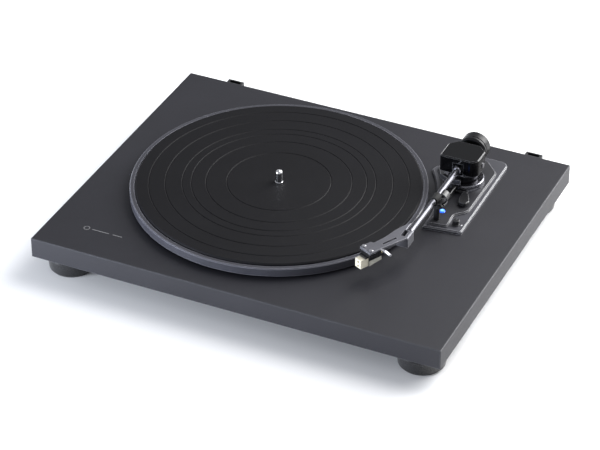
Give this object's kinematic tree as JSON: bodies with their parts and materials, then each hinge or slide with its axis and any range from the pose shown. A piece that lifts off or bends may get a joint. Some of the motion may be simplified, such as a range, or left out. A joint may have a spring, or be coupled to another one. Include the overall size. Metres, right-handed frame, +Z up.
{
  "type": "turntable record player",
  "caption": "Belt-drive turntable record player with a flat plinth on round feet, grooved platter mat, pivoted tonearm, counterweight and cueing lever.",
  "frame": {"origin": "on the standing surface, under the middle of the outer box", "axes": "+Z up, +Y to the back with the hinges and sockets, +X to the tonearm side"},
  "size_m": [0.42, 0.3424, 0.0834],
  "materials": {
    "plinth_vinyl": "satin charcoal laminate over fibreboard",
    "black_plastic": "moulded",
    "foot_black": "satin gloss",
    "pad_rubber": "matt",
    "belt_rubber": "ground flat belt",
    "mat_rubber": "fine grooved rings",
    "steel": "plated",
    "chrome": "polished",
    "brass": "turned",
    "motor_steel": "zinc plated",
    "plate_metal": "satin",
    "plateau_metal": "satin",
    "turret_metal": "satin anodised",
    "fitting_black": "semi gloss",
    "lamp_blue": "clear lens",
    "board_green": "coated board",
    "jack_metal": "nickel and gold flash",
    "platter_aluminium": "turned",
    "bow_metal": "black",
    "yaw_metal": "blackened",
    "fork_metal": "satin",
    "hood_gloss": "high gloss",
    "yoke_metal": "satin",
    "tube_aluminium": "polished",
    "shell_metal": "satin grey",
    "cartridge_black": "semi gloss",
    "stylus_cream": "moulded",
    "stylus_clear": "translucent",
    "weight_black": "satin"
  },
  "bodies": {
    "base": {"plinth_board": "plinth_vinyl", "bottom_cover": "black_plastic", "bottom_cover_screws": "steel", "foot_front_left": "foot_black", "foot_front_right": "foot_black", "foot_rear_left": "foot_black", "foot_rear_right": "foot_black", "foot_pads": "pad_rubber", "foot_bolts": "steel", "hinge_socket_left": "black_plastic", "hinge_socket_right": "black_plastic", "hinge_screws": "steel", "arm_base_plate": "plate_metal", "arm_base_plateau": "plateau_metal", "plate_screw": "steel", "arm_turret": "turret_metal", "turret_nut": "steel", "arm_rest_post": "fitting_black", "lifter_housing": "fitting_black", "power_lamp": "lamp_blue", "bearing_housing": "brass", "thrust_ball": "chrome", "motor_body": "motor_steel", "motor_bracket": "motor_steel", "motor_grommets": "pad_rubber", "drive_belt": "belt_rubber", "control_board": "board_green", "connector_panel": "black_plastic", "signal_jacks": "jack_metal", "earth_terminal": "jack_metal", "power_inlet": "fitting_black", "inlet_pin": "jack_metal"},
    "platter_unit": {"platter": "platter_aluminium", "platter_mat": "mat_rubber", "platter_spindle": "chrome"},
    "pulley": {"motor_pulley": "brass"},
    "knob": {"speed_knob": "fitting_black"},
    "clip": {"arm_clip": "fitting_black"},
    "lever": {"cue_lever": "fitting_black"},
    "lifter": {"lift_bow": "bow_metal"},
    "arm_carrier": {"yaw_shaft": "yaw_metal", "gimbal_fork": "fork_metal", "pivot_screws": "steel", "arm_hood": "hood_gloss"},
    "arm": {"gimbal_yoke": "yoke_metal", "arm_tube": "tube_aluminium", "tube_sleeve": "pad_rubber", "headshell": "shell_metal", "headshell_screws": "steel", "finger_lift": "steel", "cartridge_body": "cartridge_black", "cartridge_pins": "jack_metal", "stylus_block": "stylus_cream", "stylus_wedge": "stylus_clear", "stylus": "steel", "weight_stub": "tube_aluminium", "yoke_set_screw": "steel"},
    "weight_slider": {"weight_sleeve": "brass"},
    "weight": {"counterweight": "weight_black"}
  },
  "joints": [
    {"name": "platter_spin", "type": "hinge", "parent": "base", "child": "platter_unit", "pos_m": [-0.03, -0.0007, 0.045], "axis": [0, 0, 1], "continuous": true},
    {"name": "pulley_spin", "type": "hinge", "parent": "base", "child": "pulley", "pos_m": [-0.1092, 0.0785, 0.045], "axis": [0, 0, 1], "continuous": true},
    {"name": "speed_knob_turn", "type": "hinge", "parent": "base", "child": "knob", "pos_m": [0.1486, 0.0152, 0.045], "axis": [0, 0, 1], "range_deg": [-35, 35]},
    {"name": "arm_clip_swing", "type": "hinge", "parent": "base", "child": "clip", "pos_m": [0.1348, 0.013, 0.0651], "axis": [0, 1, 0], "range_deg": [-62, 25]},
    {"name": "cue_lever_tilt", "type": "hinge", "parent": "base", "child": "lever", "pos_m": [0.139, 0.0632, 0.0482], "axis": [-1, 0, 0], "range_deg": [0, 35]},
    {"name": "lift_rise", "type": "slide", "parent": "base", "child": "lifter", "axis": [0, 0, 1], "range_m": [0, 0.00267]},
    {"name": "arm_swing", "type": "hinge", "parent": "base", "child": "arm_carrier", "pos_m": [0.128, 0.0855, 0.069], "axis": [0, 0, -1], "range_deg": [0, 36]},
    {"name": "arm_lift", "type": "hinge", "parent": "arm_carrier", "child": "arm", "pos_m": [0.128, 0.0855, 0.069], "axis": [-1, 0, 0], "range_deg": [0, 4]},
    {"name": "weight_travel", "type": "slide", "parent": "arm", "child": "weight_slider", "axis": [0, 1, 0], "range_m": [-0.00125, 0.0025]},
    {"name": "weight_turn", "type": "hinge", "parent": "weight_slider", "child": "weight", "pos_m": [0.128, 0.111, 0.069], "axis": [0, 1, 0], "range_deg": [-362, 722]}
  ],
  "couplings": [
    {"joint": "pulley_spin", "follows": "platter_spin", "ratio": 10},
    {"joint": "cue_lever_tilt", "follows": "lift_rise", "rad_per_m": 228},
    {"joint": "weight_turn", "follows": "weight_travel", "rad_per_m": 5026.5}
  ]
}
